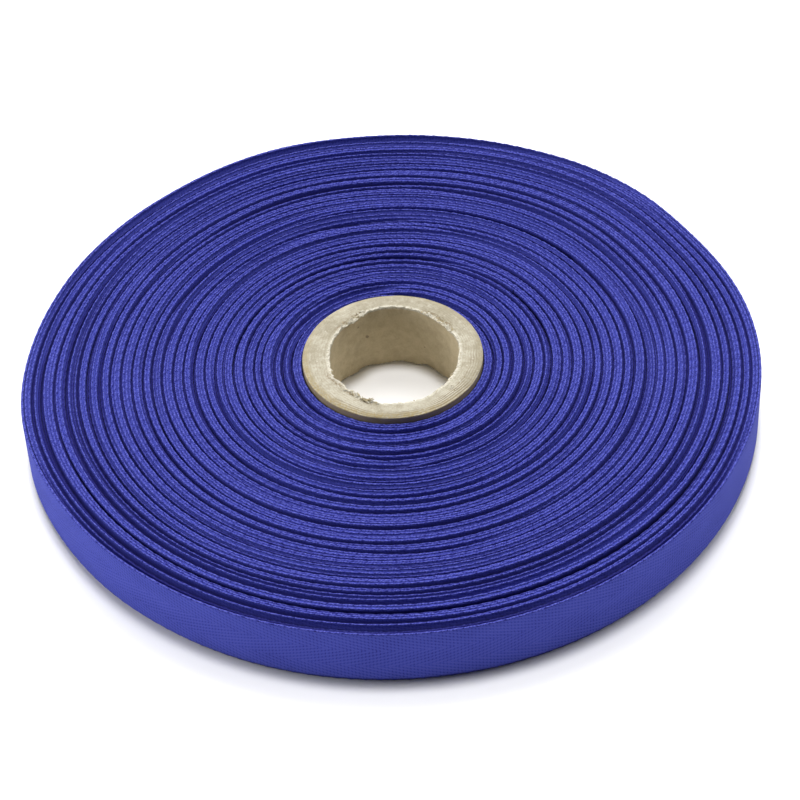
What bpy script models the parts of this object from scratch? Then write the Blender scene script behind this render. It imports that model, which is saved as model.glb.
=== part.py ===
"""Reel of herringbone twill tape, wound flat on a short cardboard tube.

Run with: blender --background --python part.py
Units are metres and +Z is up. The origin is on the tube's axis, at its lower end, which is what the
reel stands on. The tape is one solid of its wound form: every few turns one turn lies lower than its
neighbours, which leaves the ridges and grooves that both faces of the reel show.
"""

import math
import random
from collections import namedtuple

import bpy
from mathutils import Vector

# Driving dimensions
REEL_DIAMETER = 0.144
TAPE_WIDTH = 0.012
TAPE_LIFT = 0.00105  # height of the tape's lower edges above the table
TUBE_DIAMETER = 0.0356
TUBE_BORE = 0.0264
TUBE_HEIGHT = 0.0147
SEAT_GAP = 0.0003  # between the tube and the first turn

# Winding
TURNS = 102
INNER_THICKNESS = 0.00049  # thickness of a turn at the tube, where the tape is wound tightest
FIRST_GROOVE_TURN = 2.6
GROOVE_SPACING = 4  # turns from one groove to the next
GROOVE_HALF_WIDTH = 0.8  # in turns
GROOVE_DEPTH = 0.0008
GROOVE_DEPTH_SPREAD = 0.25  # share by which single grooves are deeper or shallower
RIDGE_HEIGHT_SPREAD = 0.00012
WINDING_SEED = 7

# Where the outer turns lie slack or are pressed in: angles and half widths in degrees, counterclockwise
Bulge = namedtuple("Bulge", "angle half_width height")
BULGES = (
    Bulge(angle=190, half_width=18, height=0.0012),
    Bulge(angle=218, half_width=13, height=0.0003),
    Bulge(angle=110, half_width=15, height=0.0009),
    Bulge(angle=50, half_width=13, height=0.0004),
    Bulge(angle=28, half_width=10, height=-0.0005),
    Bulge(angle=0, half_width=14, height=0.0003),
)

# Tube edges
TOP_EDGE_RADIUS = 0.0007
LOWER_EDGE_RADIUS = 0.0004
BORE_EDGE_RADIUS = 0.0003
EDGE_STEPS = 2

# Mesh
ROUND_STEPS = 36
MERGE_DISTANCE = 0.00001

# Worked out from the dimensions above
REEL_RADIUS = REEL_DIAMETER / 2
TUBE_RADIUS = TUBE_DIAMETER / 2
BORE_RADIUS = TUBE_BORE / 2
FIRST_TURN_RADIUS = TUBE_RADIUS + SEAT_GAP
WOUND_BUILD = REEL_RADIUS - FIRST_TURN_RADIUS
OUTER_THICKNESS = 2 * WOUND_BUILD / TURNS - INNER_THICKNESS
TAPE_TOP = TAPE_LIFT + TAPE_WIDTH

# Finishes: colour, roughness
TAPE_FINISH = ((0.055, 0.058, 0.42, 1.0), 0.85)
BOARD_FINISH = ((0.50, 0.38, 0.24, 1.0), 0.9)


def clear_scene():
    """Remove every object of the scene."""
    for thing in list(bpy.data.objects):
        bpy.data.objects.remove(thing, do_unlink=True)


def make_collection(name):
    """Return a new collection in the scene."""
    collection = bpy.data.collections.new(name)
    bpy.context.scene.collection.children.link(collection)
    return collection


def make_material(name, finish):
    """Return a plain Principled material."""
    colour, roughness = finish
    material = bpy.data.materials.new(name)
    material.use_nodes = True
    shader = material.node_tree.nodes["Principled BSDF"]
    shader.inputs["Base Color"].default_value = colour
    shader.inputs["Roughness"].default_value = roughness
    shader.inputs["Metallic"].default_value = 0.0
    material.diffuse_color = colour
    return material


def turn_radius(turn):
    """Radius of the inner side of a turn. The turns grow thicker outwards, as the winding loosens."""
    growth = (OUTER_THICKNESS - INNER_THICKNESS) / TURNS
    return FIRST_TURN_RADIUS + INNER_THICKNESS * turn + growth * turn * turn / 2


def winding_grooves():
    """Return (turn, depth, ridge_drop) for each groove, from the tube outwards.

    The depth of a groove and the height of the ridge inside it vary a little from one to the next.
    """
    chance = random.Random(WINDING_SEED)
    grooves = []
    turn = FIRST_GROOVE_TURN
    while turn + GROOVE_HALF_WIDTH < TURNS:
        depth = GROOVE_DEPTH * (1 + chance.uniform(-GROOVE_DEPTH_SPREAD, GROOVE_DEPTH_SPREAD))
        ridge_drop = chance.uniform(0.0, RIDGE_HEIGHT_SPREAD)
        grooves.append((turn, depth, ridge_drop))
        turn += GROOVE_SPACING
    return grooves


def winding_section():
    """Points (turn, drop) across the winding: flat ridges of about three turns, one low turn between."""
    grooves = winding_grooves()
    first_ridge_drop = grooves[0][2]
    points = [(0.0, first_ridge_drop)]
    for turn, depth, ridge_drop in grooves:
        points.append((turn - GROOVE_HALF_WIDTH, ridge_drop))
        points.append((turn, depth))
        points.append((turn + GROOVE_HALF_WIDTH, ridge_drop))
    points.append((float(TURNS), 0.0))
    return points


def tape_profile():
    """Closed section of the wound tape, from the top of its outer side downwards.

    The tape has one width all through, so where a turn lies low in the top face it stands out of the
    lower face by as much.
    """
    section = winding_section()
    top = [(turn_radius(turn), TAPE_TOP - drop) for turn, drop in section]
    lower = [(turn_radius(turn), TAPE_LIFT - drop) for turn, drop in section]
    return lower[::-1] + top


def rounded_corner(centre_radius, centre_height, radius, start_angle):
    """Points of a quarter circle that turns clockwise from start_angle, in degrees."""
    points = []
    for step in range(EDGE_STEPS + 1):
        angle = math.radians(start_angle - 90 * step / EDGE_STEPS)
        x = centre_radius + radius * math.cos(angle)
        z = centre_height + radius * math.sin(angle)
        points.append((x, z))
    return points


def tube_profile():
    """Closed section of the tube's wall, from the top of its outer side downwards."""
    outer_top = rounded_corner(
        TUBE_RADIUS - TOP_EDGE_RADIUS, TUBE_HEIGHT - TOP_EDGE_RADIUS, TOP_EDGE_RADIUS, 90)
    outer_foot = rounded_corner(
        TUBE_RADIUS - LOWER_EDGE_RADIUS, LOWER_EDGE_RADIUS, LOWER_EDGE_RADIUS, 0)
    bore_foot = rounded_corner(BORE_RADIUS + BORE_EDGE_RADIUS, BORE_EDGE_RADIUS, BORE_EDGE_RADIUS, -90)
    bore_top = rounded_corner(
        BORE_RADIUS + BORE_EDGE_RADIUS, TUBE_HEIGHT - BORE_EDGE_RADIUS, BORE_EDGE_RADIUS, 180)
    return outer_top + outer_foot + bore_foot + bore_top


def turned_object(name, profile, collection, material):
    """Return an object whose closed profile, points of (radius, height), is turned about the Z axis."""
    mesh = bpy.data.meshes.new(name)
    vertices = [(radius, 0.0, height) for radius, height in profile]
    edges = [(index, (index + 1) % len(vertices)) for index in range(len(vertices))]
    mesh.from_pydata(vertices, edges, [])
    turned = bpy.data.objects.new(name, mesh)
    collection.objects.link(turned)
    turned.data.materials.append(material)
    screw = turned.modifiers.new("turn", "SCREW")
    screw.axis = "Z"
    screw.angle = math.tau
    screw.steps = ROUND_STEPS
    screw.render_steps = ROUND_STEPS
    screw.use_smooth_shade = True
    screw.use_merge_vertices = True
    screw.merge_threshold = MERGE_DISTANCE
    return turned


def apply_modifiers(thing):
    """Give the object the mesh that its modifiers make, and remove them."""
    depsgraph = bpy.context.evaluated_depsgraph_get()
    finished = bpy.data.meshes.new_from_object(thing.evaluated_get(depsgraph))
    finished.name = thing.name
    thing.modifiers.clear()
    thing.data = finished


def out_of_round(angle, radius):
    """How far a point of the winding stands out from its round turn. It is nothing at the tube."""
    share = ((radius - FIRST_TURN_RADIUS) / WOUND_BUILD) ** 2
    stands_out = 0.0
    for bulge in BULGES:
        away = (math.degrees(angle) - bulge.angle + 180) % 360 - 180
        stands_out += bulge.height * math.exp(-((away / bulge.half_width) ** 2))
    return share * stands_out


def press_out_of_round(roll):
    """Move the points of the wound tape in and out, as turns wound by hand tension lie."""
    for vertex in roll.data.vertices:
        radius = math.hypot(vertex.co.x, vertex.co.y)
        angle = math.atan2(vertex.co.y, vertex.co.x)
        outwards = Vector((math.cos(angle), math.sin(angle), 0.0))
        vertex.co += outwards * out_of_round(angle, radius)


def make_tape_roll(collection):
    """The tape, wound on the tube with a seat gap around it."""
    material = make_material("tape_cloth", TAPE_FINISH)
    roll = turned_object("tape_roll", tape_profile(), collection, material)
    apply_modifiers(roll)
    press_out_of_round(roll)
    return roll


def make_core_tube(collection):
    """The cardboard tube. It stands proud of the tape on both faces, and the reel rests on it."""
    material = make_material("core_board", BOARD_FINISH)
    return turned_object("core_tube", tube_profile(), collection, material)


def main():
    """Build the reel."""
    clear_scene()
    reel = make_collection("reel_of_twill_tape")
    make_core_tube(reel)
    make_tape_roll(reel)


main()
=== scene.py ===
"""The looks of a reel of herringbone twill tape, wound flat on a short cardboard tube.

The tape is one strip of blue cotton in about a hundred turns. Its selvedges make both faces of the reel:
a few turns stand level as a ridge, and a low turn between them makes a groove. The turns are real
geometry, and the weave is a material that follows the strip. The tube stands slightly proud of the tape.
"""

import logging
import math
from collections.abc import Mapping, Sequence
from dataclasses import dataclass, field

import bpy
import numpy as np
from mathutils import Matrix, Vector, noise


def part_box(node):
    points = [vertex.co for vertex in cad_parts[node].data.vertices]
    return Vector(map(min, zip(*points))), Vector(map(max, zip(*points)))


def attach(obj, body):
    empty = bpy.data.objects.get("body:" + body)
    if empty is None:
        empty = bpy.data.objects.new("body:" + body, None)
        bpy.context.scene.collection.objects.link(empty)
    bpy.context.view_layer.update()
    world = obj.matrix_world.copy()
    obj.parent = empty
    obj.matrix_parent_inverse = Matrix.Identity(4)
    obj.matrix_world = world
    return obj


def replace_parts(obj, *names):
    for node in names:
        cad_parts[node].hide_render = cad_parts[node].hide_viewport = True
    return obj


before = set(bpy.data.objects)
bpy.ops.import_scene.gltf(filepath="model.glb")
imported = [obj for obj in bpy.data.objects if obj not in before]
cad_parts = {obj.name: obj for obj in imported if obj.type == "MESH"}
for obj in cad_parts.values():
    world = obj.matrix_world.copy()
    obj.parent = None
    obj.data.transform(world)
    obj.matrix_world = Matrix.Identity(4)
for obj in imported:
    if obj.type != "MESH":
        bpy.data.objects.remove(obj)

log = logging.getLogger("reel")

MM = 0.001
TAPE_WIDTH = 12.0 * MM
ROLL_RADIUS = 72.1 * MM
BORE_RADIUS = 13.2 * MM
FIRST_TURN_GAP = 0.14 * MM  # between the tube and the tape's first turn
BODY = "root"
FACE_MAP = "along_and_down"  # millimetres along the tape, and down from its upper edge
EDGE_MAP = "along_and_across"  # millimetres along the tape, and share of its thickness
PAINTED_SHADE_DEPTH = "painted_shade_depth"  # millimetres that a place lies deep between its neighbours, by which the cloth is painted with shade
ACROSS_WALL = "across_wall"  # millimetres outwards from the bore's edge

Number = float | int


# Small helpers for operators


def select_only(thing: bpy.types.Object) -> None:
    """Deselect everything, then select one object and make it active."""
    bpy.ops.object.select_all(action="DESELECT")
    thing.select_set(True)
    bpy.context.view_layer.objects.active = thing


def apply_modifier(thing: bpy.types.Object, name: str) -> None:
    """Apply one modifier of an object."""
    select_only(thing)
    bpy.ops.object.modifier_apply(modifier=name)


def place_vertices(thing: bpy.types.Object, points: np.ndarray) -> None:
    """Give a mesh object's vertices new coordinates."""
    thing.data.vertices.foreach_set("co", points.astype(np.float32).ravel())
    thing.data.update()


def corner_vertices(thing: bpy.types.Object) -> np.ndarray:
    """Return the number of the vertex at each face corner."""
    corners = np.empty(len(thing.data.loops), int)
    thing.data.loops.foreach_get("vertex_index", corners)
    return corners


def lay_map(thing: bpy.types.Object, name: str, first: np.ndarray, second: np.ndarray) -> None:
    """Add a UV map that gives each face corner these two numbers."""
    layer = thing.data.uv_layers.new(name=name)
    layer.uv.foreach_set("vector", np.stack([first, second], -1).astype(np.float32).ravel())


def lay_values(thing: bpy.types.Object, name: str, values: np.ndarray) -> None:
    """Add an attribute that gives each vertex its number."""
    layer = thing.data.attributes.new(name, "FLOAT", "POINT")
    layer.data.foreach_set("value", values.astype(np.float32).ravel())


def ring(name: str, points: int) -> bpy.types.Object:
    """Add a closed loop of vertices, which a section is then laid on.

    Args:
        name: the piece's name.
        points: the number of points in the section.

    Returns:
        The loop.
    """
    bpy.ops.object.select_all(action="DESELECT")
    bpy.ops.mesh.primitive_circle_add(vertices=points, radius=1.0, fill_type="NOTHING")
    loop = bpy.context.active_object
    loop.name = name
    loop.data.name = name
    return loop


def sweep_once(loop: bpy.types.Object, steps: int, rise: float) -> None:
    """Sweep a closed section once about the Z axis.

    Args:
        loop: the section, a closed loop of vertices.
        steps: the number of steps in the turn.
        rise: how far the turn ends above its start. Without a rise it closes on itself.
    """
    select_only(loop)
    bpy.ops.object.modifier_add(type="SCREW")
    screw = loop.modifiers[-1]
    screw.axis = "Z"
    screw.angle = math.tau
    screw.screw_offset = rise
    screw.steps = steps
    screw.render_steps = steps
    screw.use_merge_vertices = False
    apply_modifier(loop, screw.name)


def close_ends(thing: bpy.types.Object, merge: float | None) -> None:
    """Fill the open ends of a swept strip and turn its faces outwards.

    Args:
        thing: the swept mesh.
        merge: the distance under which vertices are joined first, or None to join none.
    """
    select_only(thing)
    bpy.ops.object.mode_set(mode="EDIT")
    bpy.ops.mesh.select_mode(type="VERT")
    bpy.ops.mesh.select_all(action="SELECT")
    if merge is not None:
        bpy.ops.mesh.remove_doubles(threshold=merge)
    bpy.ops.mesh.select_all(action="SELECT")
    bpy.ops.mesh.fill_holes(sides=0)
    bpy.ops.mesh.select_all(action="SELECT")
    bpy.ops.mesh.normals_make_consistent(inside=False)
    bpy.ops.object.mode_set(mode="OBJECT")
    bpy.ops.object.shade_smooth()


def dress(piece: bpy.types.Object, material: bpy.types.Material) -> None:
    """Give a piece its material and let it ride on the reel.

    Args:
        piece: the finished mesh.
        material: the look of its whole surface.
    """
    piece.data.materials.clear()
    piece.data.materials.append(material)
    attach(piece, BODY)
    triangles = sum(len(face.vertices) - 2 for face in piece.data.polygons)
    log.info("%s: %d triangles", piece.name, triangles)


# Small helpers for shapes


def smoothstep(values: np.ndarray) -> np.ndarray:
    """Ease from 0 to 1 over the same range, flat outside it."""
    share = np.clip(values, 0.0, 1.0)
    return share * share * (3 - 2 * share)


def bell(away: float, reach: float) -> float:
    """1 in the middle, about a third at the reach and almost nothing at twice the reach."""
    return math.exp(-((away / reach) ** 2))


def degrees_from(angle: float | np.ndarray, middle: float) -> float | np.ndarray:
    """How far an angle in radians lies from one in degrees, in degrees from -180 to 180."""
    return (np.degrees(angle) - middle + 180) % 360 - 180


def about_axis(radius: np.ndarray, angle: np.ndarray, height: np.ndarray) -> np.ndarray:
    """Coordinates of points that are given by their radius, angle and height about the Z axis."""
    return np.stack(np.broadcast_arrays(radius * np.cos(angle), radius * np.sin(angle), height), -1)


def rounding(radius: float, height: float, bend: float, angles: Sequence[float]) -> list[tuple]:
    """Points (radius, height) of a rounded edge about a centre, at these angles in degrees."""
    turns = np.radians(angles)
    return [(radius + bend * math.cos(turn), height + bend * math.sin(turn)) for turn in turns]


def rough(at: Vector, grains: Sequence[tuple[float, float]]) -> float:
    """Sum of noises at a point. Each has its height, and how finely it changes to the metre."""
    return sum(height * noise.noise(at * fineness) for height, fineness in grains)


# Shader maths


class Signal:
    """A number in a shader, on which Python's operators add Math nodes."""

    def __init__(self, graph: "Graph", socket: bpy.types.NodeSocket) -> None:
        """Wrap an output socket of a graph."""
        self.graph = graph
        self.socket = socket

    def __add__(self, other: "Signal | Number") -> "Signal":
        """Sum."""
        return self.graph.math("ADD", self, other)

    def __radd__(self, other: Number) -> "Signal":
        """Sum, with the number first."""
        return self.graph.math("ADD", other, self)

    def __sub__(self, other: "Signal | Number") -> "Signal":
        """Difference."""
        return self.graph.math("SUBTRACT", self, other)

    def __rsub__(self, other: Number) -> "Signal":
        """Difference, with the number first."""
        return self.graph.math("SUBTRACT", other, self)

    def __mul__(self, other: "Signal | Number") -> "Signal":
        """Product."""
        return self.graph.math("MULTIPLY", self, other)

    def __rmul__(self, other: Number) -> "Signal":
        """Product, with the number first."""
        return self.graph.math("MULTIPLY", other, self)

    def __truediv__(self, other: "Signal | Number") -> "Signal":
        """Quotient."""
        return self.graph.math("DIVIDE", self, other)

    def __rtruediv__(self, other: Number) -> "Signal":
        """Quotient, with the number first."""
        return self.graph.math("DIVIDE", other, self)

    def fraction(self) -> "Signal":
        """What is left over a whole number."""
        return self.graph.math("FRACT", self)

    def whole(self) -> "Signal":
        """The whole number below."""
        return self.graph.math("FLOOR", self)

    def size(self) -> "Signal":
        """The value without its sign."""
        return self.graph.math("ABSOLUTE", self)

    def wave(self) -> "Signal":
        """Cosine of this many whole turns, from 1 at 0 to -1 at a half."""
        return self.graph.math("COSINE", self * math.tau)

    def hump(self) -> "Signal":
        """Round hump over each whole number: 0 at the numbers and 1 halfway between them."""
        return self.graph.math("SINE", self.fraction() * math.pi)

    def ease(self, low: float, high: float) -> "Signal":
        """Rise smoothly from 0 to 1, or fall from 1 to 0 if low is the greater.

        Args:
            low: where the result is 0.
            high: where it is 1.

        Returns:
            The eased signal.
        """
        limits = {"interpolation_type": "SMOOTHSTEP"}
        if low <= high:
            sockets = {"Value": self, "From Min": low, "From Max": high}
        else:
            sockets = {"Value": self, "From Min": high, "From Max": low, "To Min": 1.0, "To Max": 0.0}
        return self.graph.node("ShaderNodeMapRange", limits, sockets, "Result")


class Graph:
    """The nodes of one material."""

    def __init__(self, name: str) -> None:
        """Make a material with an empty node tree.

        Args:
            name: the material's name.
        """
        self.material = bpy.data.materials.new(name)
        self.material.use_nodes = True
        self.tree = self.material.node_tree
        self.tree.nodes.clear()

    def node(
        self,
        kind: str,
        settings: Mapping[str, object] | None = None,
        sockets: Mapping[str | int, object] | None = None,
        output: str | int = 0,
    ) -> Signal:
        """Add a node.

        Args:
            kind: the node's type.
            settings: its properties, which are set first.
            sockets: values or signals for its inputs, by name or number.
            output: the output that is wanted, by name or number.

        Returns:
            That output as a signal.
        """
        made = self.tree.nodes.new(kind)
        for key, value in (settings or {}).items():
            setattr(made, key, value)
        for key, value in (sockets or {}).items():
            if isinstance(value, Signal):
                self.tree.links.new(value.socket, made.inputs[key])
            else:
                made.inputs[key].default_value = value
        return Signal(self, made.outputs[output])

    def math(self, operation: str, *values: Signal | Number) -> Signal:
        """Add a Math node on the values."""
        return self.node("ShaderNodeMath", {"operation": operation}, dict(enumerate(values)))

    def least(self, first: Signal | Number, second: Signal | Number) -> Signal:
        """The smaller of two values."""
        return self.math("MINIMUM", first, second)

    def parts(self, vector: Signal) -> tuple[Signal, Signal, Signal]:
        """The three numbers of a vector."""
        split = self.node("ShaderNodeSeparateXYZ", None, {0: vector})
        return tuple(Signal(self, socket) for socket in split.socket.node.outputs)

    def vector(self, x: Signal | Number, y: Signal | Number, z: Signal | Number) -> Signal:
        """A vector of three numbers."""
        return self.node("ShaderNodeCombineXYZ", None, {0: x, 1: y, 2: z})

    def map(self, name: str) -> Signal:
        """The places of the piece's own UV map."""
        return self.node("ShaderNodeUVMap", {"uv_map": name})

    def attribute(self, name: str) -> Signal:
        """The number that the piece's own attribute gives."""
        return self.node("ShaderNodeAttribute", {"attribute_name": name}, None, "Fac")

    def places(self) -> Signal:
        """The object's coordinates."""
        return self.node("ShaderNodeTexCoord", None, None, "Object")

    def heading(self, x: Signal, y: Signal) -> tuple[Signal, Signal]:
        """Cosine and sine of a place's angle about the Z axis."""
        radius = self.math("SQRT", x * x + y * y)
        return x / radius, y / radius

    def side(self, heading: tuple[Signal, Signal], angle: float, spread: float) -> Signal:
        """1 at one side of the Z axis and 0 past the spread.

        Args:
            heading: cosine and sine of a place's angle about the axis.
            angle: the side, in degrees about the axis.
            spread: how far it reaches to either hand, in degrees.

        Returns:
            The share.
        """
        middle = math.radians(angle)
        towards = heading[0] * math.cos(middle) + heading[1] * math.sin(middle)
        return towards.ease(math.cos(math.radians(spread)), math.cos(math.radians(spread * 0.4)))

    def speckle(self, at: Signal, scale: float, detail: float = 2.0, rough: float = 0.5) -> Signal:
        """Noise between 0 and 1 about a half."""
        sockets = {"Vector": at, "Scale": scale, "Detail": detail, "Roughness": rough}
        return self.node("ShaderNodeTexNoise", None, sockets, 0)

    def mix(self, share: Signal | Number, first: object, second: object) -> Signal:
        """Mix two colours, each a signal or a tuple."""
        settings = {"data_type": "RGBA", "clamp_factor": True}
        return self.node("ShaderNodeMix", settings, {0: share, 6: first, 7: second}, 2)

    def shade(self, sockets: Mapping[str, object], height: Signal, depth: float) -> bpy.types.Material:
        """Finish the material with a Principled shader and a bump.

        Args:
            sockets: the shader's own values and signals.
            height: the relief, from 0 to 1.
            depth: what a height of 1 stands for, in metres.

        Returns:
            The material.
        """
        bump = self.node("ShaderNodeBump", None, {"Strength": 1.0, "Distance": depth, "Height": height})
        shader = self.node("ShaderNodeBsdfPrincipled", None, {**sockets, "Normal": bump})
        output = self.tree.nodes.new("ShaderNodeOutputMaterial")
        self.tree.links.new(shader.socket, output.inputs["Surface"])
        return self.material


# Finishes


@dataclass(frozen=True)
class TwillCotton:
    """Blue cotton in a herringbone twill with round, bound selvedges. Lengths are in millimetres."""

    pick: float = 0.658  # from one weft thread to the next
    end: float = 0.207  # from one warp thread to the next
    width: float = 12.0
    breaks: tuple[float, float] = (4.3, 8.3)  # where the twill turns round, down from the upper edge
    selvedge: float = 0.16
    # painted shade: the colour that the cloth darkens to deep between the turns
    painted_groove_shade: tuple[float, ...] = (0.0095, 0.0090, 0.108, 1.0)
    # deep and crown: painted shade low between the yarns and painted highlight on their tops
    deep: tuple[float, ...] = (0.0125, 0.0145, 0.135, 1.0)
    body: tuple[float, ...] = (0.060, 0.075, 0.430, 1.0)
    edge: tuple[float, ...] = (0.050, 0.058, 0.322, 1.0)
    crown_highlight: tuple[float, ...] = (0.109, 0.122, 0.480, 1.0)
    relief: float = 0.00009  # in metres

    def weave(self, along: Signal, down: Signal) -> Signal:
        """Draw the yarns on the tape's face: two threads over and two under, in three stripes.

        Args:
            along: how far a place lies along the tape.
            down: how far it lies below the upper edge.

        Returns:
            The height of the yarns, from 0 to 1.
        """
        picks = along / self.pick
        ends = down / self.end
        column = ends.whole()
        middle = down.ease(self.breaks[0], self.breaks[0] + 0.01) * down.ease(
            self.breaks[1] + 0.01, self.breaks[1])
        slant = 1.0 - 2.0 * middle
        turned = middle * (2 * round(self.breaks[0] / self.end) + 2)
        repeat = (picks + slant * column + turned) / 4
        over = ((repeat - 0.25).wave() * 1.3 + 0.5).ease(0.0, 1.0)
        warp = ends.hump() * (0.75 + 0.25 * (repeat * 2).hump())
        weft = 0.45 * picks.hump()
        return over * warp + (1.0 - over) * weft

    def strands(self, graph: Graph, along: Signal, across: Signal) -> Signal:
        """Draw the selvedge: one round cord, which the weft binds down at every second pick.

        Args:
            graph: the material's nodes.
            along: how far a place lies along the tape.
            across: its share of the tape's thickness.

        Returns:
            The height of the yarns, from 0 to about 1.
        """
        wander = graph.speckle(graph.vector(along * 0.5, across * 0.8, 3.0), 1.0, 1.0)
        repeat = along / (4 * self.pick) + wander * 0.7
        bound = 0.36 * repeat.wave() + 0.55 * (repeat * 2 + across * 0.6).wave()
        bound = bound + 0.65 * (repeat * 4 - across * 0.8).wave()
        cord = (across + (wander - 0.5) * 0.1).hump()
        pressed = cord + (1.0 - cord) * (0.16 * bound - 0.08)
        return 0.3 + pressed.ease(-0.05, 0.6) * (0.5 + 0.32 * bound)

    def build(self) -> bpy.types.Material:
        """Mix the cloth's colours by the height of its yarns, as painted shade between them and painted
        highlight on their tops with some random fibre tone, and paint shade into the grooves between the
        turns.

        Returns:
            The material of the tape, for its faces and its edges.
        """
        graph = Graph("herringbone_cotton")
        along, down, _ = graph.parts(graph.map(FACE_MAP))
        _, across, _ = graph.parts(graph.map(EDGE_MAP))
        from_edge = graph.least(down, self.width - down)
        on_edge = from_edge.ease(self.selvedge * 1.5, self.selvedge * 0.5)
        weave = self.weave(along, down)
        strands = self.strands(graph, along, across)
        fibre = graph.speckle(graph.vector(along * 3.6, down * 6.0 + across * 3.0, 0.0), 1.0, 3.0, 0.75)
        cloud = graph.speckle(graph.vector(along * 0.11, down * 0.3, 0.0), 1.0, 2.0)
        on_face = 1.0 - on_edge
        # light: painted light and shade by yarn height, with random fibre and cloud tone
        light = 0.5 + on_edge * ((strands - 0.78) * 1.05 + (fibre - 0.5) * 1.9)
        light = light + on_face * ((weave - 0.5) * 0.65 + (fibre - 0.5) * 0.75) + (cloud - 0.5) * 0.25
        plain = graph.mix(on_edge, self.body, self.edge)
        low = graph.mix((light * 2).ease(0.0, 1.0), self.deep, plain)
        colour = graph.mix((light - 0.5) * 2, low, self.crown_highlight)
        # painted shade: the deeper a place lies between the turns beside it, the darker it is painted
        colour = graph.mix(graph.attribute(PAINTED_SHADE_DEPTH).ease(-0.15, 0.85) * 0.9, colour, self.painted_groove_shade)
        height = on_edge * (strands + fibre * 0.5) + on_face * (weave * 0.35 + fibre * 0.2)
        values = {
            "Base Color": colour,
            "Roughness": 0.9,
            "Specular IOR Level": 0.12,
            "Sheen Weight": 0.03,
            "Sheen Roughness": 0.4,
            "Sheen Tint": (0.6, 0.65, 1.0, 1.0),
        }
        return graph.shade(values, height, self.relief)


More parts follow.
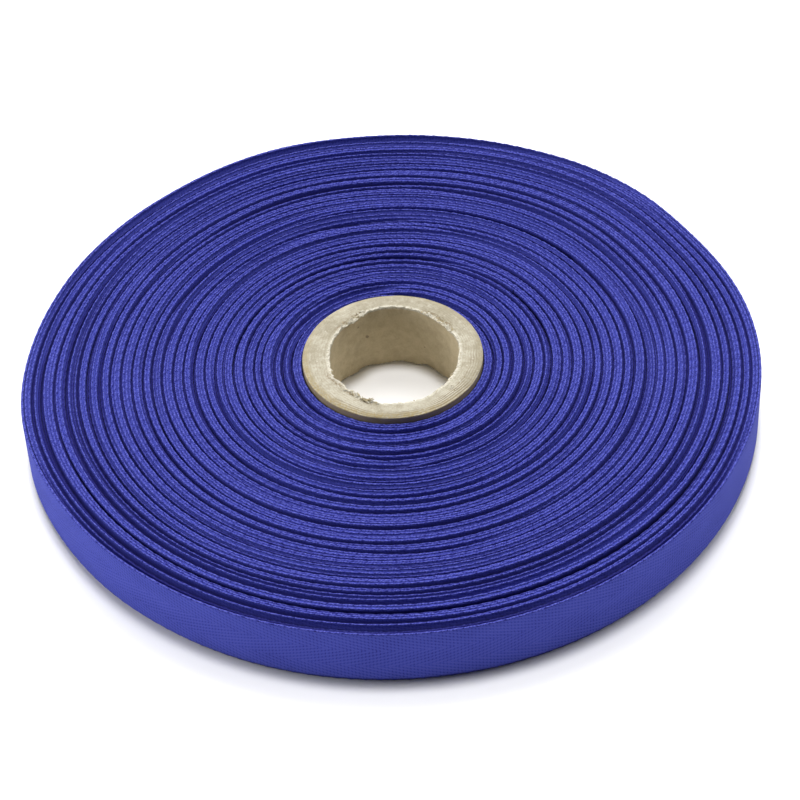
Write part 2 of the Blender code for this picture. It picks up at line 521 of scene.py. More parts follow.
@dataclass(frozen=True)
class Greyboard:
    """Cut spirally wound board: pale plies on its ends and a smooth liner in its bore.

    It reads how far a place lies across the wall, in millimetres from the bore's edge outwards.
    """

    height: float  # of the tube, in metres
    wall: float  # in millimetres
    ply_thickness: float = 0.47  # in millimetres
    scars: tuple[tuple[float, float], ...] = ((128.0, 22.0), (46.0, 22.0), (-132.0, 36.0))  # in degrees
    relief: float = 0.00009  # in metres
    torn_relief: float = 0.00004
    face: tuple[float, ...] = (0.285, 0.255, 0.185, 1.0)
    pale: tuple[float, ...] = (0.43, 0.40, 0.32, 1.0)
    ply: tuple[float, ...] = (0.19, 0.15, 0.095, 1.0)
    crack: tuple[float, ...] = (0.21, 0.15, 0.08, 1.0)
    burr: tuple[float, ...] = (0.60, 0.57, 0.48, 1.0)
    rim: tuple[float, ...] = (0.30, 0.235, 0.115, 1.0)
    liner: tuple[float, ...] = (0.385, 0.325, 0.215, 1.0)
    pale_liner: tuple[float, ...] = (0.52, 0.445, 0.30, 1.0)
    speck: tuple[float, ...] = (0.12, 0.09, 0.065, 1.0)
    outside: tuple[float, ...] = (0.34, 0.265, 0.175, 1.0)

    def build(self) -> bpy.types.Material:
        """Lay plies, flecks, tears, cracks and stains over the board's own tone, with painted light that
        makes it lighter towards the front and darker towards the back.

        Returns:
            The material of the tube, for its ends, its bore and its outside.
        """
        graph = Graph("cut_greyboard")
        places = graph.places()
        x, y, z = graph.parts(places)
        heading = graph.heading(x, y)
        below = (self.height - z) / MM
        across = graph.attribute(ACROSS_WALL)
        round_way = graph.vector(heading[0] * 9.0, heading[1] * 9.0, across * 1.6 + below * 0.8)
        streaks = graph.speckle(round_way, 3.0, 3.0, 0.6)
        fibres = graph.speckle(places, 2600.0, 3.0, 0.65)
        mottle = graph.speckle(places, 620.0, 3.0, 0.6)
        cloud = graph.speckle(places, 150.0, 2.0)
        plies = ((across + (cloud - 0.5) * 1.2) / self.ply_thickness).hump()
        # tone: the board's random tone, plus painted light that is lighter towards the front and darker
        # towards the back
        tone = mottle * 0.4 + fibres * 0.35 + streaks * 0.25 + (cloud - 0.5) * 0.4 - heading[1] * 0.06
        lines = plies.ease(0.4, 0.05) * streaks.ease(0.42, 0.56) * 0.55
        flecks = graph.speckle(places, 1300.0, 2.0, 0.6).ease(0.56, 0.66) * 0.35
        split = graph.side(heading, -36.0, 40.0) * across.ease(2.0, 2.5)
        split = split + graph.side(heading, -105.0, 40.0) * across.ease(2.8, 3.2) * 0.6
        split = split * plies.ease(0.75, 0.25) * cloud.ease(0.3, 0.5)
        torn = across.ease(0.9, 0.2) * fibres.ease(0.3, 0.55) * 0.8
        first_scar, *other_scars = (graph.side(heading, *scar) for scar in self.scars)
        cracks = (across - 0.75 + (streaks - 0.5) * 3.0).size().ease(0.3, 0.08) * mottle.ease(0.38, 0.5)
        cracks = cracks * graph.least(sum(other_scars, first_scar), 1.0)
        glints = graph.speckle(places, 1500.0, 1.0).ease(0.70, 0.75) * 0.4
        stain = across.ease(self.wall - 1.6, self.wall - 0.6) * (0.25 + 0.75 * fibres.ease(0.42, 0.58))
        stain = stain * (0.2 + 0.7 * graph.side(heading, -118.0, 90.0))
        end_face = graph.mix(tone.ease(0.34, 0.66), self.face, self.pale)
        layers = (
            (lines, self.ply),
            (flecks, self.ply),
            (split, self.ply),
            (torn, self.burr),
            (cracks * 0.85, self.crack),
            (glints, self.burr),
            (stain, self.rim),
        )
        for share, tint in layers:
            end_face = graph.mix(share, end_face, tint)
        grain = mottle * 0.4 + fibres * 0.3 + cloud * 0.3
        dots = graph.speckle(places, 520.0, 1.0).ease(0.73, 0.77) * 0.6
        liner = graph.mix(grain.ease(0.3, 0.7), self.liner, self.pale_liner)
        liner = graph.mix(dots, liner, self.speck)
        outside = graph.mix(tone.ease(0.4, 0.6), self.rim, self.outside)
        at_side = across.ease(self.wall - 0.5, self.wall - 0.1) * below.ease(0.4, 0.9)
        in_bore = across.ease(0.06, 0.0) * below.ease(0.25, 0.6)
        colour = graph.mix(in_bore, graph.mix(at_side, end_face, outside), liner)
        height = fibres * 0.5 + mottle * 0.3 + plies * 0.2 - cracks * 0.6
        return self.finish(graph, colour, height, self.relief)

    def build_torn(self) -> bpy.types.Material:
        """Mix the colours of torn paper.

        Returns:
            The material of the slivers at the tube's end.
        """
        graph = Graph("torn_paper")
        fibres = graph.speckle(graph.places(), 2600.0, 2.0)
        stains = graph.speckle(graph.places(), 700.0, 2.0)
        colour = graph.mix(fibres.ease(0.3, 0.7), self.pale, self.burr)
        colour = graph.mix(stains.ease(0.45, 0.6) * 0.75, colour, self.rim)
        return self.finish(graph, colour, fibres, self.torn_relief)

    def finish(self, graph: Graph, colour: Signal, height: Signal, depth: float) -> bpy.types.Material:
        """Finish a material with the dull sheen that board and its paper share."""
        values = {"Base Color": colour, "Roughness": 0.9, "Specular IOR Level": 0.2}
        return graph.shade(values, height, depth)


# The winding


@dataclass(frozen=True)
class Wave:
    """One sine wave: how often it comes in a turn, its height in metres and its phase."""

    often: float
    height: float
    phase: float

    def at(self, turns: np.ndarray) -> np.ndarray:
        """Height of the wave at these numbers of turns."""
        return self.height * np.sin(math.tau * self.often * turns + self.phase)


WANDER = (
    Wave(0.37, 0.11 * MM, 0.3),
    Wave(0.61, 0.08 * MM, 3.7),
    Wave(0.83, 0.06 * MM, 1.9),
    Wave(1.71, 0.05 * MM, 4.4),
    Wave(4.3, 0.035 * MM, 2.2),
    Wave(9.7, 0.025 * MM, 5.1),
    Wave(23.3, 0.02 * MM, 0.8),
)


@dataclass(frozen=True)
class Bulge:
    """Where the outer turns lie slack or are pressed in: angle and half width in degrees.

    The higher its power, the fewer turns take part, counted from the rim.
    """

    angle: float
    half_width: float
    height: float
    power: float = 2.0

    def at(self, angle: np.ndarray, share: np.ndarray) -> np.ndarray:
        """How far it makes the turns stand out, at angles in radians and shares of the winding."""
        away = degrees_from(angle, self.angle) / self.half_width
        return self.height * np.exp(-(away**2)) * share**self.power


BULGES = (
    Bulge(190, 18, 1.2 * MM, 6.0),
    Bulge(218, 13, 0.3 * MM, 6.0),
    Bulge(110, 15, 0.9 * MM),
    Bulge(50, 13, 0.4 * MM),
    Bulge(28, 10, -0.5 * MM),
    Bulge(0, 14, 0.3 * MM),
)


@dataclass(frozen=True)
class Groove:
    """A stretch of tape that lies low. Its middle and length are in turns, its depth in metres."""

    middle: float
    length: float
    depth: float
    soft: float = 0.14

    def at(self, place: np.ndarray) -> np.ndarray:
        """How low the tape lies at these places."""
        reach = (self.length / 2 + self.soft / 2 - np.abs(place - self.middle)) / self.soft
        return self.depth * smoothstep(reach)


RIM_GROOVES = (
    Groove(98.35, 0.70, 1.2 * MM),  # from the right round the front to the left
    Groove(99.35, 0.30, 0.7 * MM),  # at the front
    Groove(100.35, 0.34, 1.6 * MM),
    Groove(97.80, 0.26, 1.0 * MM),  # at the back, inside the turns that stand up there
    Groove(98.80, 0.28, 1.6 * MM),
    Groove(99.80, 0.28, 1.3 * MM),
    Groove(102.00, 0.14, 0.5 * MM),  # the tape's end
)


@dataclass
class Winding:
    """Where the tape runs. A place along it is the number of turns from its start on the tube."""

    inner_radius: float
    outer_radius: float
    lower_edge: float
    width: float = TAPE_WIDTH
    turns: int = 102
    inner_thickness: float = 0.49 * MM
    end_angle: float = math.radians(37.0)
    climb: float = 0.15  # share of the first turn over which it rises from the tube
    first_groove: float = 3.6
    groove_spacing: float = 3.82
    groove_count: int = 25
    groove_depth: float = 1.5 * MM
    groove_depths: tuple[float, float] = (0.8, 1.2)  # least and greatest share of it
    groove_shifts: tuple[float, float] = (-0.2, 0.2)
    groove_lengths: tuple[float, float] = (1.0, 1.2)
    half_low_places: tuple[float, float] = (0.95, 1.15)  # turns beside the groove
    half_low_depths: tuple[float, float] = (0.2, 0.6)  # in millimetres
    half_low_lengths: tuple[float, float] = (0.8, 1.3)
    dip_count: int = 24  # short stretches that lie a little low
    dip_lengths: tuple[float, float] = (0.15, 0.6)
    dip_depths: tuple[float, float] = (0.2, 0.7)  # in millimetres
    dip_free: int = 5  # outermost turns without dips
    ridge_swell: float = 0.12 * MM  # how far whole ridges rise and fall on their way round
    swell_change: float = 0.08  # share of a ridge over which one swell gives way to the next
    seed: int = 11
    grooves: list[Groove] = field(default_factory=list)

    def __post_init__(self) -> None:
        """Work out the growth of the turns and lay out the grooves."""
        chance = np.random.default_rng(self.seed)
        count = self.turns + 0.5
        build = self.outer_radius - self.inner_radius
        self.outer_thickness = 2 * build / count - self.inner_thickness
        self.growth = (self.outer_thickness - self.inner_thickness) / count
        for number in range(self.groove_count):
            middle = self.first_groove + self.groove_spacing * number
            middle += chance.uniform(*self.groove_shifts)
            depth = self.groove_depth * chance.uniform(*self.groove_depths)
            self.grooves.append(Groove(middle, chance.uniform(*self.groove_lengths), depth))
            beside = chance.choice((-1.0, 1.0)) * chance.uniform(*self.half_low_places)
            depth = chance.uniform(*self.half_low_depths) * MM
            self.grooves.append(Groove(middle + beside, chance.uniform(*self.half_low_lengths), depth))
        for _ in range(self.dip_count):
            middle = chance.uniform(self.first_groove, self.turns - self.dip_free)
            length = chance.uniform(*self.dip_lengths)
            self.grooves.append(Groove(middle, length, chance.uniform(*self.dip_depths) * MM))
        self.grooves += RIM_GROOVES

    def angle(self, place: np.ndarray) -> np.ndarray:
        """Angle about the axis. The tape runs clockwise seen from above."""
        return self.end_angle - math.tau * place

    def round_radius(self, place: np.ndarray) -> np.ndarray:
        """Radius of the tape's inner side, before it is pressed out of round.

        The first turn lies on the tube and climbs on to its own start at the end of the turn.

        Args:
            place: places along the tape.

        Returns:
            The radius at each.
        """
        climbed = smoothstep((place - (1 - self.climb)) / self.climb)
        start = np.where(place < 1.0, climbed, place)
        return self.inner_radius + self.inner_thickness * start + self.growth * start * start / 2

    def out_of_round(self, angle: np.ndarray, radius: np.ndarray) -> np.ndarray:
        """How far the turns are pressed out of round: nothing at the tube, most at the outside."""
        share = (radius - self.inner_radius) / (self.outer_radius - self.inner_radius)
        return sum(bulge.at(angle, np.maximum(share, 0.0)) for bulge in BULGES)

    def radius(self, place: np.ndarray) -> np.ndarray:
        """Radius of the tape's inner side."""
        plain = self.round_radius(place)
        return plain + self.out_of_round(self.angle(place), plain)

    def length(self, place: np.ndarray) -> np.ndarray:
        """Length of tape from its start to this place, in metres."""
        thick = self.inner_thickness
        return math.tau * (
            self.inner_radius * place + thick * place**2 / 2 + self.growth * place**3 / 6)

    def swell(self, ridge: np.ndarray, angle: np.ndarray) -> np.ndarray:
        """How far one ridge, the turns between two grooves, lies high or low at these angles."""
        return self.ridge_swell * (np.sin(angle + 2.4 * ridge) + 0.6 * np.sin(2 * angle + 4.1 * ridge))

    def level(self, place: np.ndarray) -> np.ndarray:
        """How high the tape lies above or below its level run.

        Args:
            place: places along the tape.

        Returns:
            The height of each above the level run, in metres.
        """
        angle = self.angle(place)
        ridges = (place - self.first_groove) / self.groove_spacing
        ridge = np.round(ridges)
        passed = smoothstep((ridges - ridge) / self.swell_change + 0.5)
        height = sum(wave.at(place) for wave in WANDER)
        last, this = self.swell(ridge - 1, angle), self.swell(ridge, angle)
        height = height + (1 - passed) * last + passed * this
        low = np.zeros_like(height)
        for groove in self.grooves:
            low = np.maximum(low, groove.at(place))
        return height - low

    def scallop(self, place: np.ndarray) -> tuple[np.ndarray, np.ndarray]:
        """Wave the selvedge, once and twice in each repeat of the twill.

        Args:
            place: places along the tape.

        Returns:
            How far each lies high, and how far outwards, in metres.
        """
        phase = math.tau * self.length(place) / SCALLOP_PITCH
        rise = 0.5 * np.sin(phase) + 0.5 * np.sin(2 * phase + 1)
        sway = 0.55 * np.cos(phase) + 0.45 * np.cos(2 * phase)
        return SCALLOP_HEIGHT * rise, SCALLOP_SWAY * sway


@dataclass(frozen=True)
class Section:
    """The tape's section at one edge: share of its thickness, and drop below the crest in metres."""

    share: tuple[float, ...]
    drop: tuple[float, ...]


UPPER_EDGE = Section((0.12, 0.36, 0.64, 0.88), (0.10 * MM, 0.0, 0.0, 0.10 * MM))
LOWER_EDGE = Section((0.3, 0.7), (0.0, 0.0))
GAP_DEPTH = 0.19 * MM  # how deep two level turns part at their edges
SLACK_GAP_DEPTH = 1.5 * MM  # and how much deeper where they lie their own thickness apart
SHOULDER_LIMIT = 0.8 * MM  # the step down beside a turn from which its shoulder is no rounder
SHOULDER_DROP = 0.3  # share of the step by which the shoulder drops
SHOULDER_SHADE = 0.5  # share of the step that counts as depth for the painted shade there
SHOULDER_SHARE = 0.3  # how far from the middle of the edge a shoulder lies, as a share of the thickness
EDGE_LEAN = 0.12 * MM  # how far an edge leans over a turn that lies lower beside it
LEAN_DROP = 0.6 * MM  # from this drop on
FAR_LOW = -1.0  # where no turn lies
MERGE_DISTANCE = 0.001 * MM
CLOTH_THICKNESS = 0.60 * MM  # where nothing presses on it
LOWEST_EDGE = 0.12 * MM  # above the table
SCALLOP_PITCH = 2.633 * MM
SCALLOP_HEIGHT = 0.09 * MM
SCALLOP_SWAY = 0.06 * MM


@dataclass
class TurnGroup:
    """A stretch of whole turns, one solid: their edges are modelled, and they are fused inside."""

    name: str
    first: int
    count: int
    steps: int
    winding: Winding

    def __post_init__(self) -> None:
        """Lay out the section: for each point its turn, its share of the thickness, drop and side.

        Every vertex then has its place along the tape, one row for each section.
        """
        rows = []
        for turn in range(self.count):
            rows.append((turn, 0.0, GAP_DEPTH, 1))
            rows += [(turn, share, drop, 1) for share, drop in zip(UPPER_EDGE.share, UPPER_EDGE.drop)]
        rows.append((self.count, 0.0, GAP_DEPTH, 1))
        rows.append((self.count, 0.0, GAP_DEPTH, -1))
        for turn in reversed(range(self.count)):
            rows += [(turn, share, drop, -1)
                     for share, drop in zip(LOWER_EDGE.share[::-1], LOWER_EDGE.drop[::-1])]
            rows.append((turn, 0.0, GAP_DEPTH, -1))
        self.turn, self.share, self.drop, self.side = (np.array(column) for column in zip(*rows))
        self.in_gap = self.share == 0.0
        self.upper = self.side > 0
        self.edge = self.winding.lower_edge + np.where(self.upper, self.winding.width, 0.0)
        self.place = self.first + self.turn + np.arange(self.steps + 1)[:, None] / self.steps

    def points(self) -> np.ndarray:
        """Lay the section on the winding.

        Returns:
            Coordinates of all vertices, section by section round the turn.
        """
        winding, place = self.winding, self.place
        inner, outer = winding.radius(place), winding.radius(place + 1)
        slack = np.maximum((outer - inner) / CLOTH_THICKNESS - 1, 0.0)
        share = np.where(self.in_gap, self.share, 0.5 + (self.share - 0.5) / (1 + slack))
        level, after = winding.level(place), winding.level(place + 1)
        before = winding.level(np.maximum(place - 1, 0.0))
        rise, sway = winding.scallop(place)
        over_next = smoothstep(self.side * (level - after) / LEAN_DROP)
        over_last = smoothstep(self.side * (level - before) / LEAN_DROP)
        sway = sway + EDGE_LEAN * (over_next - over_last)
        radius = inner + (outer - inner) * share + np.where(self.in_gap, 0.0, sway)
        gap_level = np.where(self.upper, np.minimum(level, before), np.maximum(level, before))
        own = np.where(self.in_gap, gap_level, level + rise)
        drop = self.drop + np.where(self.in_gap, np.minimum(slack, 1.0) * SLACK_GAP_DEPTH, 0.0)
        drop = drop + SHOULDER_DROP * self.fall_beside()
        height = np.maximum(self.edge + own - self.side * drop, LOWEST_EDGE)
        return about_axis(radius, winding.angle(place), height)

    def depth(self, height: np.ndarray) -> np.ndarray:
        """Return how deep each vertex lies between the turns beside it, in millimetres, for the cloth's
        painted shade.

        Args:
            height: the height of every vertex, one row for each section.

        Returns:
            For each vertex, how far the lower one of its two sides rises over it, or a share of how
            far its shoulder stands over the turn beside it, whichever is more.
        """
        inside = np.maximum(self.crest(self.place - 1), self.crest(self.place - 2))
        nearest = np.where(self.in_gap, self.place, self.place + 1)
        outside = np.maximum(self.crest(nearest), self.crest(nearest + 1))
        rises = np.minimum(inside, outside) - self.side * (height - self.edge)
        return np.maximum(rises, self.fall_beside() * SHOULDER_SHADE) / MM

    def fall_beside(self) -> np.ndarray:
        """Find the shoulders, which only the upper edges have.

        Returns:
            How far the turn beside each shoulder lies lower, up to a limit, and 0 at other vertices.
        """
        beside = np.maximum(np.where(self.share < 0.5, self.place - 1, self.place + 1), 0.0)
        fall = self.winding.level(self.place) - self.winding.level(beside)
        at_shoulder = ~self.in_gap & (np.abs(self.share - 0.5) > SHOULDER_SHARE)
        return np.where(at_shoulder, np.clip(fall, 0.0, SHOULDER_LIMIT), 0.0)

    def crest(self, place: np.ndarray) -> np.ndarray:
        """How far a turn's edge stands out of the reel's face on each vertex's side."""
        level = self.winding.level(np.maximum(place, 0.0))
        return np.where(place < self.winding.turns, self.side * level, FAR_LOW)

    def lay_maps(self, piece: bpy.types.Object, height: np.ndarray) -> None:
        """Give each face corner its place along, down and across the tape.

        Args:
            piece: the swept mesh, before its vertices are joined.
            height: the height of every vertex, one row for each section.
        """
        last = len(self.turn) - 1
        step, point = np.divmod(corner_vertices(piece).reshape(-1, 4), last + 1)
        low = point.min(axis=1, keepdims=True)
        low = np.where(point.max(axis=1, keepdims=True) - low > 1, last, low)
        after = np.minimum(low + 1, last)
        turn = np.where(self.upper[low], self.turn[low], self.turn[after])
        turn = np.clip(turn, 0, self.count - 1)
        past = self.in_gap[point] & (self.turn[point] > turn)
        place = self.first + turn + step / self.steps
        crest = self.winding.lower_edge + self.winding.width + self.winding.level(place)
        along = self.winding.length(place) / MM
        lay_map(piece, FACE_MAP, along, (crest - height[step, point]) / MM)
        lay_map(piece, EDGE_MAP, along, np.where(past, 1.0, self.share[point]))

    def build(self, cloth: bpy.types.Material) -> bpy.types.Object:
        """Sweep the section round once, wind it into its spiral, and join each turn to the next.

        Args:
            cloth: the tape's material.

        Returns:
            The piece.
        """
        piece = ring(self.name, len(self.turn))
        sweep_once(piece, self.steps, self.winding.width)
        points = self.points()
        self.lay_maps(piece, points[..., 2])
        # the depth between the turns, which the cloth's painted shade follows
        lay_values(piece, PAINTED_SHADE_DEPTH, self.depth(points[..., 2]))
        place_vertices(piece, points.reshape(-1, 3))
        close_ends(piece, MERGE_DISTANCE)
        dress(piece, cloth)
        return piece


@dataclass
class LastTurn:
    """The outermost turn, a strip of its own with its cut end at the right, towards the back."""

    winding: Winding
    steps: int = 680
    rows: int = 22
    clearance: float = 0.02 * MM
    face_drop: float = 0.35 * MM  # where the flat faces start below the edges
    scallop_share: float = 0.6
    scallop_reach: float = 0.8 * MM  # how far down the face the selvedge waves
    flare: float = 0.10 * MM  # how far the cut end stands off
    flare_share: float = 0.015  # of the turn, over which it does

    def section(self) -> tuple[np.ndarray, np.ndarray, np.ndarray]:
        """Lay out the section, from the inner top round by the outer face.

        Returns:
            For each point its share of the thickness, its side and how far it lies from that edge.
        """
        upper = [(share, 1, drop) for share, drop in zip(UPPER_EDGE.share, UPPER_EDGE.drop)]
        outer = []
        for row in range(self.rows + 1):
            down = self.face_drop + (self.winding.width - 2 * self.face_drop) * row / self.rows
            outer.append((1.0, 1, down))
        lower = [(share, -1, drop) for share, drop in zip(UPPER_EDGE.share[::-1], UPPER_EDGE.drop)]
        inner = [(0.0, -1, self.face_drop), (0.0, 1, self.face_drop)]
        share, side, drop = (np.array(column) for column in zip(*upper, *outer, *lower, *inner))
        return share, side, drop

    def build(self, cloth: bpy.types.Material) -> bpy.types.Object:
        """Sweep the strip's section once round and lay it on the winding.

        Args:
            cloth: the tape's material.

        Returns:
            The piece.
        """
        winding = self.winding
        share, side, drop = self.section()
        piece = ring("tape_last_turn", len(share))
        sweep_once(piece, self.steps, winding.width)
        step = np.arange(self.steps + 1)[:, None] / self.steps
        place = winding.turns - 1 + step + 0 * share
        outer = winding.radius(place + 1)
        thick = np.minimum(outer - winding.radius(place) - self.clearance, CLOTH_THICKNESS)
        rise, sway = winding.scallop(place)
        near_edge = self.scallop_share * np.exp(-drop / self.scallop_reach)
        lift = self.flare * smoothstep((step - (1 - self.flare_share)) / self.flare_share)
        radius = outer - thick * (1 - share) + near_edge * sway + lift
        level = winding.level(place) + near_edge * rise
        edge = winding.lower_edge + np.where(side > 0, winding.width, 0.0)
        height = np.maximum(edge + level - side * drop, LOWEST_EDGE)
        down = winding.lower_edge + winding.width + level - height
        row, point = np.divmod(corner_vertices(piece), len(share))
        along = winding.length(place)[row, point] / MM
        lay_map(piece, FACE_MAP, along, down[row, point] / MM)
        lay_map(piece, EDGE_MAP, along, share[point])
        place_vertices(piece, about_axis(radius, winding.angle(place), height).reshape(-1, 3))
        close_ends(piece, None)
        dress(piece, cloth)
        return piece


@dataclass
class WoundTape:
    """The whole tape: groups of turns from the tube outwards, and the last turn."""

    winding: Winding
    groups: tuple[tuple[str, int, int], ...] = (  # name, turns and steps in a turn
        ("tape_inner_turns", 27, 280),
        ("tape_second_turns", 30, 400),
        ("tape_third_turns", 24, 510),
        ("tape_fourth_turns", 10, 760),
        ("tape_outer_turns", 10, 800),
    )

    def build(self) -> list[bpy.types.Object]:
        """Build every stretch in the order in which it was wound.

        Returns:
            The pieces.
        """
        cloth = TwillCotton().build()
        pieces = []
        first = 0
        for name, count, steps in self.groups:
            pieces.append(TurnGroup(name, first, count, steps, self.winding).build(cloth))
            first += count
        pieces.append(LastTurn(self.winding).build(cloth))
        return pieces


# The tube


@dataclass(frozen=True)
class Bend:
    """Where the bore's upper edge lies out of round: angle and half width in degrees, and how far."""

    angle: float
    half_width: float
    outwards: float

    def at(self, angle: float) -> float:
        """How far it moves the edge at an angle in radians."""
        return self.outwards * bell(degrees_from(angle, self.angle), self.half_width)


BORE_BENDS = (
    Bend(100, 14, 0.25 * MM),
    Bend(125, 9, -0.60 * MM),
    Bend(45, 20, -0.45 * MM),
    Bend(14, 9, 0.30 * MM),
    Bend(-70, 12, 0.25 * MM),
    Bend(-105, 12, 0.40 * MM),
    Bend(-128, 8, -0.20 * MM),
    Bend(-143, 6, -0.45 * MM),
    Bend(-155, 7, 0.50 * MM),
)


@dataclass
class CardboardTube:
    """The tube that the tape is wound on: cut board with a rounded rim and a torn bore edge."""

    outer_radius: float
    bore_radius: float
    height: float
    steps: int = 540
    rim_radius: float = 0.6 * MM
    rim_slope: float = 0.3 * MM  # how far the end face drops towards its outer edge
    foot_radius: float = 0.4 * MM
    oval: float = 0.5 * MM
    off_centre: float = 0.3 * MM
    uneven_top: float = 2.6 * MM  # how far down from the top the bore's bends reach
    uneven_foot: float = 2.2 * MM
    uneven_wall: float = 2.4 * MM  # how far out in the wall they reach
    foot_waves: float = 0.22 * MM
    top_layer: float = 0.4 * MM  # how far down the top's bumps reach
    torn_reach: float = 0.5 * MM  # how far the bore's torn edge reaches
    torn_foot_reach: float = 0.6 * MM
    torn_height: float = 0.24 * MM
    torn_depth: float = 0.30 * MM
    torn_foot: float = 0.25 * MM
    clean_cut: tuple[float, float, float] = (-70.0, 30.0, 0.65)  # angle, half width, share of the tears
    top_grain: tuple[tuple[float, float], ...] = ((0.12 * MM, 260), (0.05 * MM, 900))
    wall_grain: tuple[tuple[float, float], ...] = ((0.07 * MM, 90), (0.05 * MM, 340))
    torn_grain: tuple[tuple[float, float], ...] = ((1.0, 700), (0.8, 1900), (0.5, 4200))
    rows: tuple[float, ...] = (0.09, 0.18, 0.28, 0.4, 0.54, 0.72, 0.95, 1.25, 1.6, 2.1, 2.6, 3.1, 3.6)

    def section(self) -> np.ndarray:
        """Lay out the wall's section, from the bore's top outwards and round.

        Returns:
            Its points (radius, height).
        """
        bore, outside, top = self.bore_radius, self.outer_radius, self.height
        rim, foot = self.rim_radius, self.foot_radius
        points = [(bore + row * MM, top) for row in self.rows]
        points += rounding(outside - rim, top - rim, rim, (90, 72, 54, 36, 18, 0))
        points += [(outside, height) for height in np.linspace(top - 1.3 * MM, foot, 8)]
        points += rounding(outside - foot, foot, foot, (-30, -60, -90))
        points += [(radius, 0.0) for radius in np.linspace(outside - 1 * MM, bore + 0.3 * MM, 4)]
        points.append((bore + 0.08 * MM, 0.08 * MM))
        points += [(bore, height) for height in np.linspace(0.35 * MM, top - 0.3 * MM, 18)]
        points.append((bore + 0.03 * MM, top - 0.1 * MM))
        return np.array(points)

    def bore_shift(self, angle: float, height: float, across: float) -> float:
        """How far the uneven bore moves a place in the wall outwards. It is rounder at the foot.

        Args:
            angle: the place's angle, in radians.
            height: its height.
            across: how far outside the bore it lies.

        Returns:
            The shift, in metres.
        """
        top = bell(self.height - height, self.uneven_top)
        oval = -self.oval * math.cos(2 * angle) + self.off_centre * math.cos(angle)
        bends = sum(bend.at(angle) for bend in BORE_BENDS)
        wavy = self.foot_waves * math.sin(13 * angle + 1) * bell(height, self.uneven_foot)
        return (oval * (0.35 + 0.65 * top) + bends * top + wavy) * bell(across, self.uneven_wall)

    def roughen(self, points: np.ndarray) -> np.ndarray:
        """Move the vertices as cut board lies: an uneven bore, a torn edge and a dented rim.

        Args:
            points: the plain tube's vertices.

        Returns:
            Where they lie then.
        """
        clean_angle, clean_width, clean_share = self.clean_cut
        moved = points.copy()
        for index, (x, y, z) in enumerate(points):
            radius = math.hypot(x, y)
            outwards = Vector((x / radius, y / radius, 0.0))
            at = Vector((x, y, z))
            angle = math.atan2(y, x)
            across = radius - self.bore_radius
            on_top = smoothstep(np.array((z - self.height + self.top_layer) / self.top_layer)).item()
            slope = smoothstep(np.array((across - 3.0 * MM) / (1.6 * MM))).item()
            near_bore = bell(math.hypot(across, z - self.height), self.torn_reach)
            at_foot = bell(math.hypot(across, z), self.torn_foot_reach)
            ragged = rough(at, self.torn_grain)
            ragged *= 1 - clean_share * bell(math.degrees(angle) - clean_angle, clean_width)
            up = on_top * (rough(at, self.top_grain) - self.rim_slope * slope)
            up += near_bore * self.torn_height * ragged + at_foot * self.torn_foot * (ragged + 0.6)
            out = near_bore * self.torn_depth * noise.noise(at * 900 + Vector((9, 2, 5)))
            out += rough(at, self.wall_grain) + self.bore_shift(angle, z, across)
            moved[index] += outwards * out + Vector((0, 0, up))
        moved[:, 2] = np.maximum(moved[:, 2], 0.0)
        return moved

    def build(self, board: bpy.types.Material) -> bpy.types.Object:
        """Turn the wall's section and roughen it.

        Args:
            board: the tube's material.

        Returns:
            The piece.
        """
        section = self.section()
        piece = ring("cardboard_tube", len(section))
        sweep_once(piece, self.steps, 0.0)
        angle = math.tau * np.arange(self.steps)[:, None] / self.steps
        points = about_axis(section[:, 0], angle, section[:, 1])
        across = np.broadcast_to((section[:, 0] - self.bore_radius) / MM, points.shape[:2])
        lay_values(piece, ACROSS_WALL, across)
        place_vertices(piece, self.roughen(points.reshape(-1, 3)))
        close_ends(piece, None)
        dress(piece, board)
        return piece


@dataclass(frozen=True)
class TornPatch:
    """Where paper is torn at the tube's end: angles in degrees, lengths in millimetres."""

    angle: float
    half_width: float
    across: float  # from the bore's edge outwards
    spread: float
    slivers: int
    length: float


TORN_PATCHES = (
    TornPatch(125, 13, 0.25, 0.35, 44, 1.2),
    TornPatch(42, 15, 0.20, 0.30, 36, 1.0),
    TornPatch(-109, 5, 0.15, 0.20, 26, 1.7),
    TornPatch(-125, 10, 0.30, 0.25, 26, 1.0),
    TornPatch(-36, 10, 2.2, 0.60, 20, 0.7),
    TornPatch(60, 150, 0.20, 0.20, 70, 0.5),
)


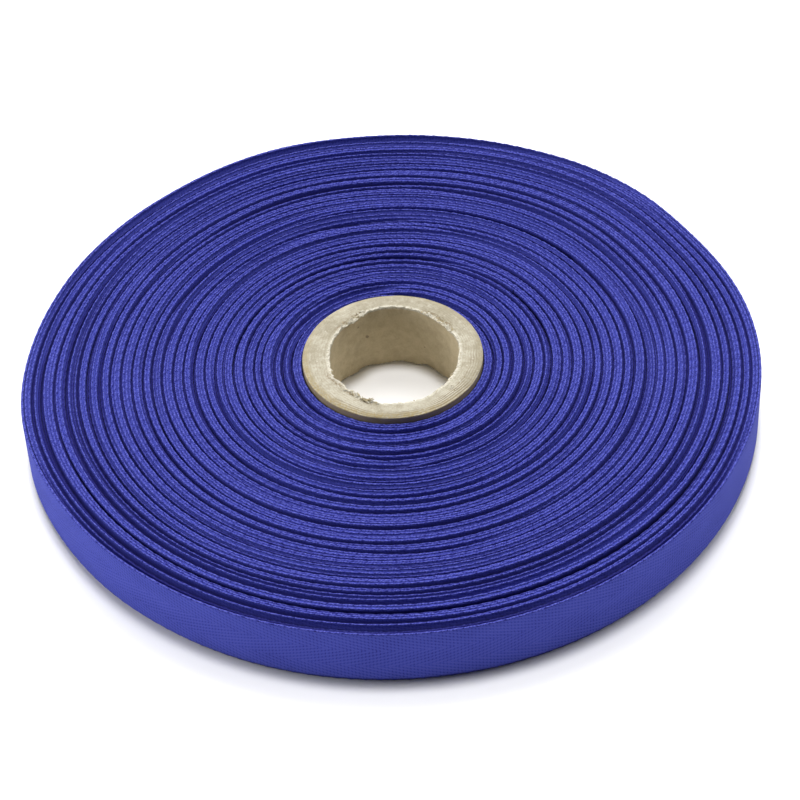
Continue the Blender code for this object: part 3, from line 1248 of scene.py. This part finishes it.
@dataclass
class TornPaper:
    """Slivers of paper that the cut has torn up on the tube's upper end."""

    tube: CardboardTube
    width: float = 0.30  # of a sliver a millimetre long
    thickness: float = 0.06
    margin: float = 0.1 * MM  # how far past the bore, and from the rim, a sliver's middle may lie
    seed: int = 5

    def sliver(self) -> bpy.types.Object:
        """Shape one bent, tapered sliver.

        Returns:
            The sliver, a millimetre long.
        """
        bpy.ops.object.select_all(action="DESELECT")
        bpy.ops.mesh.primitive_grid_add(x_subdivisions=5, y_subdivisions=1, size=1.0)
        strip = bpy.context.active_object
        for vertex in strip.data.vertices:
            x, y, _ = vertex.co
            taper = 1.0 - 0.7 * abs(x + 0.1) ** 1.5 * 2
            vertex.co = (x, y * taper * self.width, 0.35 * (x + 0.3) ** 2)
        strip.data.transform(Matrix.Scale(MM, 4))
        bpy.ops.object.modifier_add(type="SOLIDIFY")
        solidify = strip.modifiers[-1]
        solidify.thickness = self.thickness * MM
        apply_modifier(strip, solidify.name)
        return strip

    def build(self, paper: bpy.types.Material) -> bpy.types.Object:
        """Copy the sliver to every patch and join the copies.

        Args:
            paper: the slivers' material.

        Returns:
            The piece.
        """
        chance = np.random.default_rng(self.seed)
        first = self.sliver()
        copies = []
        for patch in TORN_PATCHES:
            for _ in range(patch.slivers):
                copy = first.copy()
                copy.data = first.data.copy()
                bpy.context.scene.collection.objects.link(copy)
                self.lay(copy, patch, chance)
                copies.append(copy)
        bpy.data.objects.remove(first, do_unlink=True)
        select_only(copies[0])
        for copy in copies:
            copy.select_set(True)
        bpy.ops.object.join()
        torn = bpy.context.active_object
        torn.name = "torn_paper"
        bpy.ops.object.transform_apply(location=True, rotation=True, scale=True)
        dress(torn, paper)
        return torn

    def lay(self, sliver: bpy.types.Object, patch: TornPatch, chance: np.random.Generator) -> None:
        """Lay a sliver in its patch, roughly along the tube's edge, with one end turned up.

        Args:
            sliver: the sliver.
            patch: where the paper is torn.
            chance: the slivers' random numbers.
        """
        tube = self.tube
        angle = math.radians(patch.angle + patch.half_width * chance.uniform(-1, 1))
        across = (patch.across + patch.spread * chance.normal()) * MM
        across = min(max(across, -self.margin), tube.outer_radius - tube.bore_radius - self.margin)
        radius = tube.bore_radius + across + tube.bore_shift(angle, tube.height, across)
        sliver.location = (radius * math.cos(angle), radius * math.sin(angle), tube.height)
        heading = angle + math.pi / 2 + chance.normal() * 0.35 + math.pi * chance.integers(2)
        sliver.rotation_euler = (chance.normal() * 0.3, chance.uniform(-0.25, 0.1), heading)
        length = patch.length * chance.uniform(0.5, 1.2)
        sliver.scale = (length, chance.uniform(0.6, 1.3), length)


# The studio


@dataclass(frozen=True)
class SoftLight:
    """One wide soft light, far off, so that the table is lit evenly. Angles are in degrees."""

    name: str
    azimuth: float
    elevation: float
    spread: float
    brightness: float

    def build(self) -> bpy.types.Object:
        """Add the light.

        Returns:
            Its lamp.
        """
        turn, rise = math.radians(self.azimuth), math.radians(self.elevation)
        towards = Vector((math.cos(turn) * math.cos(rise), math.sin(turn) * math.cos(rise),
                          math.sin(rise)))
        light = bpy.data.lights.new(self.name, "SUN")
        light.angle = math.radians(self.spread)
        light.energy = self.brightness * math.pi
        lamp = bpy.data.objects.new(self.name, light)
        bpy.context.scene.collection.objects.link(lamp)
        lamp.location = towards
        lamp.rotation_mode = "QUATERNION"
        lamp.rotation_quaternion = towards.to_track_quat("Z", "Y")
        return lamp


@dataclass
class Studio:
    """A white table, soft lights and the camera."""

    distance: float = 0.540
    elevation: float = math.radians(43.62)
    roll: float = -0.0501  # in radians
    aside: float = 0.93 * MM
    above: float = 1.59 * MM
    lens: float = 121.3
    sensor: float = 36.0
    surround: float = 0.09
    table_size: float = 8.0
    table_dull: tuple[float, ...] = (0.90, 0.90, 0.905, 1.0)
    table_bright: tuple[float, ...] = (0.92, 0.92, 0.925, 1.0)
    table_relief: float = 0.00001
    lights: tuple[SoftLight, ...] = (
        SoftLight("light_behind", 90.0, 50.0, 40.0, 0.84),
        SoftLight("light_above", 90.0, 83.0, 12.0, 0.64),
        SoftLight("light_left", 172.0, 20.0, 45.0, 0.68),
        SoftLight("light_right", 20.0, 36.0, 48.0, 0.37),
    )

    def build_floor(self) -> bpy.types.Object:
        """Lay a table top, far wider than the view.

        Returns:
            The table top.
        """
        bpy.ops.object.select_all(action="DESELECT")
        bpy.ops.mesh.primitive_plane_add(size=self.table_size)
        floor = bpy.context.active_object
        floor.name = "white_table"
        graph = Graph("white_table")
        grain = graph.speckle(graph.places(), 60.0)
        values = {"Base Color": graph.mix(grain, self.table_dull, self.table_bright), "Roughness": 0.8}
        floor.data.materials.append(graph.shade(values, grain, self.table_relief))
        return floor

    def build_surround(self) -> None:
        """Even white light from all sides."""
        world = bpy.data.worlds.new("white_surround")
        world.use_nodes = True
        backdrop = world.node_tree.nodes["Background"]
        backdrop.inputs["Color"].default_value = (1.0, 1.0, 1.0, 1.0)
        backdrop.inputs["Strength"].default_value = self.surround
        bpy.context.scene.world = world

    def build_camera(self) -> bpy.types.Object:
        """Stand the camera at the photograph's height, distance and tilt.

        Returns:
            The camera.
        """
        back = Vector((0.0, -math.cos(self.elevation), math.sin(self.elevation)))
        right = Vector((1.0, 0.0, 0.0))
        up = back.cross(right)
        level, turned = math.cos(self.roll), math.sin(self.roll)
        right, up = level * right + turned * up, -turned * right + level * up
        camera_data = bpy.data.cameras.new("camera")
        camera_data.lens = self.lens
        camera_data.sensor_width = self.sensor
        camera_data.clip_start = 0.01
        camera_data.clip_end = 20.0
        camera = bpy.data.objects.new("camera", camera_data)
        bpy.context.scene.collection.objects.link(camera)
        axes = Matrix((right, up, back)).transposed().to_4x4()
        place = back * self.distance + right * self.aside + up * self.above
        camera.matrix_world = Matrix.Translation(place) @ axes
        bpy.context.scene.camera = camera
        return camera

    def build(self) -> None:
        """Build the floor, the lights and the camera."""
        self.build_floor()
        self.build_surround()
        for light in self.lights:
            light.build()
        self.build_camera()
        bpy.context.scene.view_settings.view_transform = "Standard"
        bpy.context.scene.view_settings.look = "None"


def main() -> None:
    """Build the reel around its frame."""
    logging.basicConfig(level=logging.INFO, format="%(message)s")
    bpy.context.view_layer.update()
    _, tape_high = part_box("tape_roll")
    _, tube_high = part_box("core_tube")
    winding = Winding(
        inner_radius=tube_high.x + FIRST_TURN_GAP,
        outer_radius=ROLL_RADIUS,
        lower_edge=tape_high.z - TAPE_WIDTH,
    )
    for piece in WoundTape(winding).build():
        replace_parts(piece, "tape_roll")
    tube = CardboardTube(tube_high.x, BORE_RADIUS, tube_high.z)
    board = Greyboard(tube.height, (tube.outer_radius - tube.bore_radius) / MM)
    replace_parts(tube.build(board.build()), "core_tube")
    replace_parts(TornPaper(tube).build(board.build_torn()), "core_tube")
    Studio().build()


if __name__ == "__main__":
    main()
